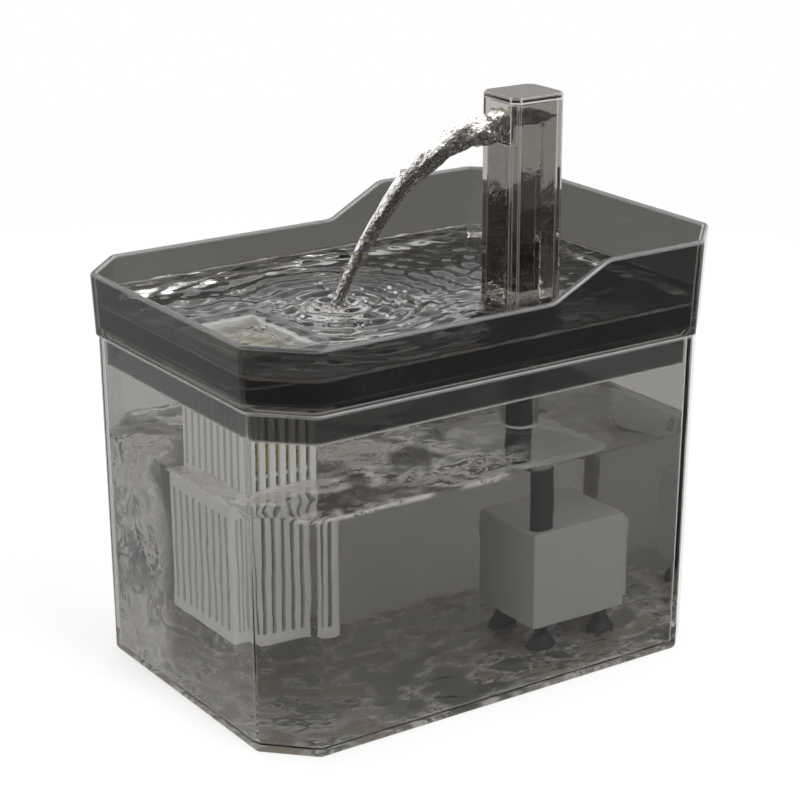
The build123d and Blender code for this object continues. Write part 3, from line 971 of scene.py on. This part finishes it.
@dataclass
class Tank:
    """The clear tank and the water in it."""

    wall: float = 0.0026
    floor: float = 0.003
    height: float = 0.128
    corner_cut: float = 0.018
    corner_radius: float = 0.003
    draft: float = math.tan(math.radians(0.8))
    gap: float = 0.00015
    level: float = 0.089
    calm: float = 0.00022
    busy: float = 0.0011
    busy_x: float = -0.03
    busy_run: float = 0.022
    swell: Ripples = Ripples(1.0, 0.016, stretch=(0.7, 1.0, 1.0))
    chop: Ripples = Ripples(0.5, 0.007, layer=0.3)
    creep: float = 0.0009
    creep_reach: float = 0.0012
    floor_wave: float = 0.0005
    floor_middle: float = 0.5
    floor_swell: Ripples = Ripples(0.5, 0.013, stretch=(1.0, 1.4, 1.0))
    floor_chop: Ripples = Ripples(0.3, 0.006, layer=0.5)
    side_depth: float = 0.0006
    side_middle: float = 0.5
    side_shift: float = 0.015
    side_swell: Ripples = Ripples(0.5, 0.012, stretch=(1.0, 1.0, 0.8))

    def inset_at(self, z: float) -> float:
        """Return how far the water's plan is inside the tank's rim plan at a height."""
        return self.wall + self.gap + (self.height - z) * self.draft

    def busyness(self, x: float) -> float:
        """Return how broken the water is, from 1 at the filter's end to 0 at the pump's."""
        return 1.0 / (1.0 + math.exp((x - self.busy_x) / self.busy_run))

    def surface(self, x: float, y: float) -> float:
        """Return the height of the water's top.

        Args:
            x: The place's x.
            y: The place's y.

        Returns:
            The height.
        """
        size = self.calm + self.busy * self.busyness(x)
        waves = self.swell.at(x, y) + self.chop.at(x, y)
        inside = max(0.0, self.plan.to_edge(x, y, self.inset_at(self.level)))
        return self.level + size * waves + self.creep * math.exp(-inside / self.creep_reach)

    def bottom(self, x: float, y: float) -> float:
        """Return the height of the water's underside, just under the face of the tank's floor."""
        wave = self.floor_middle + self.floor_swell.at(x, y) + self.floor_chop.at(x, y)
        return self.floor - self.gap - self.floor_wave * max(0.0, wave)

    def side_wave(self, x: float, y: float, z: float) -> float:
        """Return how far the water's side stands in from flat, next to the busy end."""
        wave = self.side_middle + self.side_swell.at(x, y, z)
        return self.side_depth * self.busyness(x + self.side_shift) * max(0.0, wave)

    @cached_property
    def plan(self) -> EightSidedPlan:
        """Return the tank's rim plan."""
        low, high = box_of("tank")
        return EightSidedPlan(
            half_length=(high.x - low.x) / 2.0,
            half_depth=(high.y - low.y) / 2.0,
            cut=self.corner_cut,
            corner_radius=self.corner_radius,
            side_steps=120,
            end_steps=78,
            diagonal_steps=18,
        )

    def build(self) -> None:
        """Dress the tank and fill it."""
        dress("tank", TANK_SMOKE)
        water = StandingWater(
            name="tank_water",
            plan=self.plan,
            inset_at=self.inset_at,
            bottom=self.bottom,
            surface=self.surface,
            side_wave=self.side_wave,
            ring_count=56,
            level_count=60,
        ).build()
        water.data.materials.append(material_of(TANK_WATER))
        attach(water, Body.TANK.value)
        log.info("tank: water of %d points", len(water.data.vertices))


@dataclass
class Tray:
    """The clear tray, the dark frame round its filter opening, and its water."""

    overhang: float = 0.0007
    wall: float = 0.0024
    floor_top: float = 0.1305
    corner_cut: float = 0.018
    corner_radius: float = 0.003
    flare: float = math.tan(math.radians(3.0))
    gap: float = 0.00015
    level: float = 0.1405
    pool: float = 0.1401
    frame_wall: float = 0.002
    frame_slope: float = 0.005
    mouth_wall: float = 0.0032
    mouth_slope: float = 0.002
    foam_top: float = 0.1212
    swell: Ripples = Ripples(0.0005, 0.008, stretch=(0.45, 1.0, 1.0))
    chop: Ripples = Ripples(0.00035, 0.004, stretch=(0.6, 1.0, 1.0), layer=0.7)
    pool_swell: Ripples = Ripples(0.0006, 0.005, layer=0.2)
    creep: float = 0.0007
    creep_reach: float = 0.0012
    tower_shelter: float = 0.004
    bead_count: int = 90
    bead_reach: float = 0.03
    bead_gather: float = 1.4
    bead_radius: tuple[float, float] = (0.0004, 0.0010)
    seed: int = 11

    def inset_at(self, z: float) -> float:
        """Return how far the water's plan is inside the tray's floor plan at a height."""
        return self.wall + self.gap - (z - self.floor_top) * self.flare

    @cached_property
    def plan(self) -> EightSidedPlan:
        """Return the tray's outer plan at its floor."""
        low, high = box_of("tank")
        return EightSidedPlan(
            half_length=(high.x - low.x) / 2.0 + self.overhang,
            half_depth=(high.y - low.y) / 2.0 + self.overhang,
            cut=self.corner_cut,
            corner_radius=self.corner_radius,
            side_steps=140,
            end_steps=90,
            diagonal_steps=20,
        )

    def over_filter(self, x: float, y: float) -> float:
        """Return 1 over the filter's mouth, 0 outside its frame, and a steep fall between.

        Args:
            x: The place's x.
            y: The place's y.

        Returns:
            The share.
        """
        low, high = box_of("filter_frame")
        inside = min(x - low.x, high.x - x, y - low.y, high.y - y)
        share = min(1.0, max(0.0, (inside - 0.5 * self.frame_wall) / self.frame_slope))
        return share * share * (3.0 - 2.0 * share)

    def bottom(self, x: float, y: float) -> float:
        """Return the height of the water's underside: the tray's floor, or the foam in the mouth.

        Args:
            x: The place's x.
            y: The place's y.

        Returns:
            The height.
        """
        low, high = box_of("filter_box")
        inside = min(x - low.x, high.x - x, y - low.y, high.y - y) - self.mouth_wall
        share = min(1.0, max(0.0, inside / self.mouth_slope))
        return (self.floor_top + self.gap) * (1.0 - share) + self.foam_top * share

    def surface(self, x: float, y: float, landing: Landing) -> float:
        """Return the height of the water's top.

        Args:
            x: The place's x.
            y: The place's y.
            landing: Where the stream lands.

        Returns:
            The height.
        """
        waves = self.swell.at(x, y) + self.chop.at(x, y)
        edge = max(0.0, self.plan.to_edge(x, y, self.inset_at(self.level)))
        creep = self.creep * math.exp(-edge / self.creep_reach)
        tower_low, tower_high = box_of("spout_tower")
        outside = max(tower_low.x - x, x - tower_high.x, tower_low.y - y, y - tower_high.y, 0.0)
        still = 1.0 - math.exp(-outside / self.tower_shelter)
        high = self.level + (waves + landing.rings(x, y)) * still + creep
        share = self.over_filter(x, y)
        low = self.pool + self.pool_swell.at(x, y)
        return high * (1.0 - share) + low * share

    def build(self, landing: Landing) -> None:
        """Dress the tray and its frame, and fill it.

        Args:
            landing: Where the stream lands.
        """
        dress("tray", DEEP_SMOKE)
        dress("filter_frame", DARK_FRAME)
        water = StandingWater(
            name="tray_water",
            plan=self.plan,
            inset_at=self.inset_at,
            bottom=self.bottom,
            surface=lambda x, y: self.surface(x, y, landing),
            side_wave=lambda x, y, z: 0.0,
            ring_count=72,
            level_count=8,
        ).build()
        water.data.materials.append(material_of(WATER))
        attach(water, Body.TRAY.value)
        log.info("tray: water of %d points", len(water.data.vertices))
        splash = scatter_beads("splash_beads", self.splash(landing))
        splash.data.materials.append(material_of(WATER))
        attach(splash, Body.TRAY.value)
        log.info("tray: %d beads round the landing", self.bead_count)

    def splash(self, landing: Landing) -> list[tuple[Vector, float]]:
        """Scatter the beads that float round the stream's landing.

        Args:
            landing: Where the stream lands.

        Returns:
            Each bead's place and radius.
        """
        dice = random.Random(self.seed)
        beads: list[tuple[Vector, float]] = []
        for _ in range(self.bead_count):
            angle = dice.uniform(0.0, math.tau)
            away = self.bead_reach * dice.random() ** self.bead_gather
            x, y = landing.x + away * math.cos(angle), landing.y + away * math.sin(angle)
            beads.append((Vector((x, y, self.surface(x, y, landing))), dice.uniform(*self.bead_radius)))
        return beads


@dataclass
class FilterUnit:
    """The white slotted box and the foam block in it."""

    cell: float = 0.0016
    step: float = 0.0009
    soft: float = 0.0015
    pit: float = 0.0007
    pit_repeats: float = 1.3
    speck: float = 0.2

    def build(self) -> None:
        """Dress the box and put a porous block in the foam's place."""
        dress("filter_box", WHITE)
        block = self.foam_block()
        block.data.materials.append(material_of(FOAM))
        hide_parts("filter_sponge")
        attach(block, Body.SPONGE.value)
        log.info("filter: foam of %d points", len(block.data.vertices))

    def foam_block(self) -> bpy.types.Object:
        """Build the foam block: a soft-edged block with pores pressed into every face.

        Returns:
            The new object.
        """
        low, high = box_of("filter_sponge")
        middle = (low + high) / 2.0
        half = (high - low) / 2.0
        counts = [max(2, round(2.0 * half[i] / self.step)) for i in range(3)]
        points: dict[tuple[int, int, int], int] = {}
        places: list[Point] = []
        faces: list[tuple[int, ...]] = []

        def point(grid: tuple[int, int, int]) -> int:
            """Return a grid point's number, and place it when it is first asked for.

            Args:
                grid: The point's steps along x, y and z.

            Returns:
                Its number in the mesh.
            """
            if grid not in points:
                points[grid] = len(places)
                places.append(self.pressed(grid, counts, middle, half))
            return points[grid]

        for axis in range(3):
            across, along = (axis + 1) % 3, (axis + 2) % 3
            for end in (0, counts[axis]):
                for i in range(counts[across]):
                    for j in range(counts[along]):
                        corners = []
                        for di, dj in ((0, 0), (1, 0), (1, 1), (0, 1)):
                            grid = [0, 0, 0]
                            grid[axis], grid[across], grid[along] = end, i + di, j + dj
                            corners.append(point((grid[0], grid[1], grid[2])))
                        faces.append(tuple(corners if end else reversed(corners)))
        mesh = bpy.data.meshes.new("foam_block")
        mesh.from_pydata(places, [], faces)
        return smooth_object("foam_block", mesh)

    def pressed(
        self, grid: tuple[int, int, int], counts: list[int], middle: Vector, half: Vector
    ) -> Point:
        """Return the place of one surface point: rounded at the edges and pressed in at a pore.

        Args:
            grid: The point's steps along x, y and z.
            counts: How many steps the block has along each.
            middle: The block's middle.
            half: Half the block's size.

        Returns:
            The place.
        """
        flat = Vector([(2.0 * grid[i] / counts[i] - 1.0) * half[i] for i in range(3)])
        core = Vector([max(-(half[i] - self.soft), min(half[i] - self.soft, flat[i])) for i in range(3)])
        out = flat - core
        direction = out.normalized() if out.length > 0.0 else Vector((0.0, 0.0, 1.0))
        spot = core + direction * self.soft
        near = noise.cell_vector(spot / self.cell).length
        pores = noise.noise(spot / self.cell * self.pit_repeats)
        depth = self.pit * (0.5 + 0.5 * pores) + self.speck * self.pit * near
        return tuple(middle + spot - direction * depth)


@dataclass
class SpoutTower:
    """The square tower, its cap, the riser and the hose under it, and the water inside."""

    wall: float = 0.0022
    corner_cut: float = 0.0028
    corner_radius: float = 0.0004
    gap: float = 0.00012
    floor: float = 0.1407
    brim: float = 0.2065
    pile: float = 0.003
    chop: Ripples = Ripples(0.0012, 0.004, layer=0.4)
    side_depth: float = 0.0004
    side_middle: float = 0.5
    side_swell: Ripples = Ripples(0.6, 0.005, stretch=(1.0, 1.0, 0.5))

    @cached_property
    def plan(self) -> EightSidedPlan:
        """Return the tower's outer plan."""
        low, high = box_of("spout_cap")
        return EightSidedPlan(
            half_length=(high.x - low.x) / 2.0,
            half_depth=(high.y - low.y) / 2.0,
            cut=self.corner_cut,
            corner_radius=self.corner_radius,
            side_steps=18,
            end_steps=16,
            diagonal_steps=3,
            arc_steps=2,
            centre=((low.x + high.x) / 2.0, (low.y + high.y) / 2.0),
        )

    def surface(self, x: float, y: float) -> float:
        """Return the height of the water's top, higher where it piles up behind the notch.

        Args:
            x: The place's x.
            y: The place's y.

        Returns:
            The height.
        """
        low, high = box_of("spout_cap")
        back = (x - low.x) / (high.x - low.x)
        return self.brim + self.pile * back + self.chop.at(x, y)

    def side_wave(self, x: float, y: float, z: float) -> float:
        """Return how far the water's side stands in from flat."""
        return self.side_depth * max(0.0, self.side_middle + self.side_swell.at(x, y, z))

    def build(self) -> None:
        """Dress the pieces and fill the tower."""
        dress("spout_tower", TOWER_SMOKE)
        dress("riser_tube", SMOKE)
        dress("spout_cap", SMOKE_CAP)
        dress("outlet_hose", RUBBER)
        water = StandingWater(
            name="tower_water",
            plan=self.plan,
            inset_at=lambda z: self.wall + self.gap,
            bottom=lambda x, y: self.floor,
            surface=self.surface,
            side_wave=self.side_wave,
            ring_count=10,
            level_count=60,
        ).build()
        water.data.materials.append(material_of(TOWER_WATER))
        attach(water, Body.TOWER.value)
        log.info("tower: water of %d points", len(water.data.vertices))


@dataclass(frozen=True)
class Taper:
    """How a half-width of the stream changes from the notch to the landing."""

    top: float
    power: float
    end: float
    least: float = 0.0004

    def at(self, share: float) -> float:
        """Return the half-width at a share of the way down."""
        return self.top * (1.0 - share) ** self.power + self.end * share**0.5 + self.least


@dataclass
class Stream:
    """The stream that leaves the notch and lands in the tray."""

    start: tuple[float, float] = (0.0285, -0.0285)
    top: float = 0.2055
    hold: float = 0.006
    drop_power: float = 2.35
    wide: Taper = Taper(top=0.0072, power=1.3, end=0.0022)
    thick: Taper = Taper(top=0.0050, power=1.1, end=0.0018)
    rough: float = 0.20
    rough_top: float = 0.30
    rough_run: float = 0.12
    twist: float = 2.2
    girth: float = 0.004
    lumps: Ripples = Ripples(1.0, 0.0032, stretch=(1.0, 1.0, 0.45))
    crumbs: Ripples = Ripples(0.35, 0.0014, stretch=(1.0, 1.0, 0.8), layer=0.1)
    steps: int = 150
    round_steps: int = 48
    bead_count: int = 170
    bead_gather: float = 3.2
    bead_stop: int = 4
    bead_sink: float = 0.80
    bead_radius: tuple[float, float] = (0.0004, 0.0012)
    seed: int = 5

    def ring(self, share: float, ahead: Vector, reach: float, drop: float) -> Ring:
        """Return the stream's outline at a share of the way from the notch to the landing.

        Args:
            share: The share, from 0 to 1.
            ahead: The way that the stream runs, in plan.
            reach: How far it runs, in plan.
            drop: How far it falls.

        Returns:
            The points of the outline.
        """
        side = Vector((-ahead.y, ahead.x))
        gone = reach * share
        z = self.top - drop * share**self.drop_power
        slope = -drop * self.drop_power * share ** (self.drop_power - 1.0) / reach
        normal = Vector((-slope, 1.0)).normalized()
        rough = self.rough + self.rough_top * math.exp(-share / self.rough_run)
        ring: Ring = []
        for j in range(self.round_steps):
            angle = math.tau * j / self.round_steps
            twist = angle + self.twist * share
            spot = (math.cos(twist) * self.girth, math.sin(twist) * self.girth, gone)
            swell = 1.0 + rough * self.lumps.at(*spot) + rough * self.crumbs.at(*spot)
            across = math.cos(angle) * self.wide.at(share) * swell
            up = math.sin(angle) * self.thick.at(share) * swell
            along = gone + up * normal.x
            ring.append(
                (
                    self.start[0] + ahead.x * along + side.x * across,
                    self.start[1] + ahead.y * along + side.y * across,
                    z + up * normal.y,
                )
            )
        return ring

    def build(self, landing: Landing, level: float) -> None:
        """Build the falling water and the beads over it.

        Args:
            landing: Where the stream lands.
            level: The height of the tray's water.
        """
        sx, sy = self.start
        run = Vector((landing.x - sx, landing.y - sy))
        ahead = run.normalized()
        drop = self.top - level
        rings = [self.ring(i / self.steps, ahead, run.length, drop) for i in range(self.steps + 1)]
        first = (sx, sy, self.top)
        last = (landing.x, landing.y, level)
        stream = skin_over("stream", [list(reversed(ring)) for ring in rings], first, last)
        beads = scatter_beads("stream_beads", self.beads(rings))
        for piece in (stream, beads):
            piece.data.materials.append(material_of(WILD_WATER))
            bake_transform(piece)
            log.info("%s: %d points", piece.name, len(piece.data.vertices))

    def beads(self, rings: list[Ring]) -> list[tuple[Vector, float]]:
        """Scatter beads over the fall, thickest where it leaves the notch.

        Args:
            rings: The stream's outlines, from the notch down.

        Returns:
            Each bead's place and radius.
        """
        dice = random.Random(self.seed)
        beads: list[tuple[Vector, float]] = []
        for _ in range(self.bead_count):
            step = int(len(rings) * dice.random() ** self.bead_gather)
            ring = rings[min(len(rings) - self.bead_stop, step)]
            spot = Vector(ring[dice.randrange(len(ring))])
            centre = sum((Vector(point) for point in ring), Vector()) / len(ring)
            place = centre.lerp(spot, dice.uniform(self.bead_sink, 1.0))
            beads.append((place, dice.uniform(*self.bead_radius)))
        return beads


@dataclass
class Pump:
    """The submersible pump and what is in it."""

    grey: tuple[str, ...] = ("pump_housing", "pump_intake_cover", "flow_slider")
    rubber: tuple[str, ...] = ("front_bush", "rear_bush", "cord_gland", "suction_cups")

    def build(self) -> None:
        """Dress every piece of the pump."""
        for node in self.grey:
            dress(node, GREY)
        for node in self.rubber:
            dress(node, RUBBER)
        dress("impeller_chamber_cover", DARK_GREY)
        dress("impeller", IMPELLER_WHITE)
        dress("rotor_magnet", FERRITE)
        dress("impeller_shaft", CERAMIC)
        dress("stator_core", CORE)
        dress("stator_coil", COPPER)
        dress("potting", EPOXY)
        log.info("pump: dressed")


# ---------------------------------------------------------------- studio
@dataclass(frozen=True)
class Lamp:
    """A soft square lamp aimed at the fountain, with its power in watts."""

    name: str
    place: Point
    size: float
    power: float
    aim: Point = (0.0, 0.0, 0.08)

    def build(self) -> None:
        """Hang the lamp and turn it to the fountain."""
        data = bpy.data.lights.new(self.name, "AREA")
        data.size = self.size
        data.energy = self.power
        lamp = bpy.data.objects.new(self.name, data)
        lamp.location = self.place
        lamp.rotation_mode = "QUATERNION"
        lamp.rotation_quaternion = (Vector(self.aim) - Vector(self.place)).to_track_quat("-Z", "Y")
        bpy.context.scene.collection.objects.link(lamp)


@dataclass
class Studio:
    """Pale floor, soft lamps, a white surround and the camera."""

    eye: Point = (-0.4679, -0.6856, 0.3809)
    ahead: Point = (0.533, 0.782, -0.322)
    lens: float = 103.76
    sensor: float = 36.0
    floor_half: float = 12.0
    floor_drop: float = 0.0002
    floor_grey: Colour = (0.80, 0.80, 0.80)
    floor_glow: float = 0.40
    white_from: float = 0.45
    white_to: float = 1.1
    fill: float = 0.30
    lamps: tuple[Lamp, ...] = (
        Lamp("key", (0.35, -1.15, 0.95), 0.8, 10.5),
        Lamp("side", (-1.1, -0.5, 0.7), 0.7, 5.0),
        Lamp("top", (0.1, 0.5, 1.4), 0.9, 7.0),
    )

    def build(self) -> None:
        """Build the camera, the floor, the surround and the lamps."""
        self.camera()
        self.floor()
        self.surround()
        for lamp in self.lamps:
            lamp.build()
        log.info("studio: ready")

    def camera(self) -> None:
        """Make the camera."""
        data = bpy.data.cameras.new("camera")
        data.lens = self.lens
        data.sensor_width = self.sensor
        camera = bpy.data.objects.new("camera", data)
        camera.location = self.eye
        camera.rotation_mode = "QUATERNION"
        camera.rotation_quaternion = Vector(self.ahead).to_track_quat("-Z", "Y")
        bpy.context.scene.collection.objects.link(camera)
        bpy.context.scene.camera = camera

    def floor(self) -> None:
        """Make the floor."""
        half = self.floor_half
        corners = [(-half, -half, 0.0), (half, -half, 0.0), (half, half, 0.0), (-half, half, 0.0)]
        mesh = bpy.data.meshes.new("studio_floor")
        mesh.from_pydata(corners, [], [(0, 1, 2, 3)])
        floor = bpy.data.objects.new("studio_floor", mesh)
        floor.location.z = -self.floor_drop
        bpy.context.scene.collection.objects.link(floor)
        floor.data.materials.append(self.floor_material())

    def floor_material(self) -> bpy.types.Material:
        """Build the floor's finish: pale and lit by the lamps near the fountain, white further out.

        Returns:
            The new material.
        """
        material, graph, output = new_material("studio_floor")
        matt = graph.add("BsdfDiffuse", {"Color": self.floor_grey})
        glow = graph.add("Emission", {"Color": PURE_WHITE, "Strength": self.floor_glow})
        near = graph.add("AddShader", {0: matt.outputs[0], 1: glow.outputs[0]})
        white = graph.add("Emission", {"Color": PURE_WHITE, "Strength": 1.0})
        reach = graph.add("VectorMath", {0: graph.place()}, operation="LENGTH").outputs["Value"]
        far = graph.rise(reach, self.white_from, self.white_to)
        shown = graph.add("MixShader", {0: far, 1: near.outputs[0], 2: white.outputs[0]})
        bounced = graph.add("LightPath").outputs["Is Diffuse Ray"]
        mix = graph.add("MixShader", {0: bounced, 1: shown.outputs[0], 2: matt.outputs[0]})
        graph.put(output.inputs["Surface"], mix.outputs[0])
        return material

    def surround(self) -> None:
        """Make the world: white to the camera, in gloss and through glass, and a softer fill elsewhere."""
        world = bpy.data.worlds.new("surround")
        bpy.context.scene.world = world
        world.use_nodes = True
        graph = Graph(world.node_tree)
        output = graph.add("OutputWorld")
        path = graph.add("LightPath").outputs
        seen = graph.maths("MAXIMUM", path["Is Camera Ray"], path["Is Glossy Ray"])
        shown = graph.maths("MAXIMUM", seen, path["Is Transmission Ray"])
        fill = graph.add("Background", {"Color": PURE_WHITE, "Strength": self.fill})
        white = graph.add("Background", {"Color": PURE_WHITE, "Strength": 1.0})
        mix = graph.add("MixShader", {0: shown, 1: fill.outputs[0], 2: white.outputs[0]})
        graph.put(output.inputs["Surface"], mix.outputs[0])


def main() -> None:
    """Build the fountain's looks and the studio round it."""
    logging.basicConfig(level=logging.INFO, format="%(name)s %(message)s")
    scene = bpy.context.scene
    scene.view_settings.view_transform = "Standard"
    scene.cycles.max_bounces = CLEAR_BOUNCES
    scene.cycles.transmission_bounces = CLEAR_BOUNCES
    scene.cycles.glossy_bounces = GLOSS_BOUNCES
    scene.cycles.transparent_max_bounces = STRAIGHT_BOUNCES
    Studio().build()
    landing = Landing()
    tray = Tray()
    Tank().build()
    tray.build(landing)
    FilterUnit().build()
    SpoutTower().build()
    Stream().build(landing, tray.level)
    Pump().build()


if __name__ == "__main__":
    main()
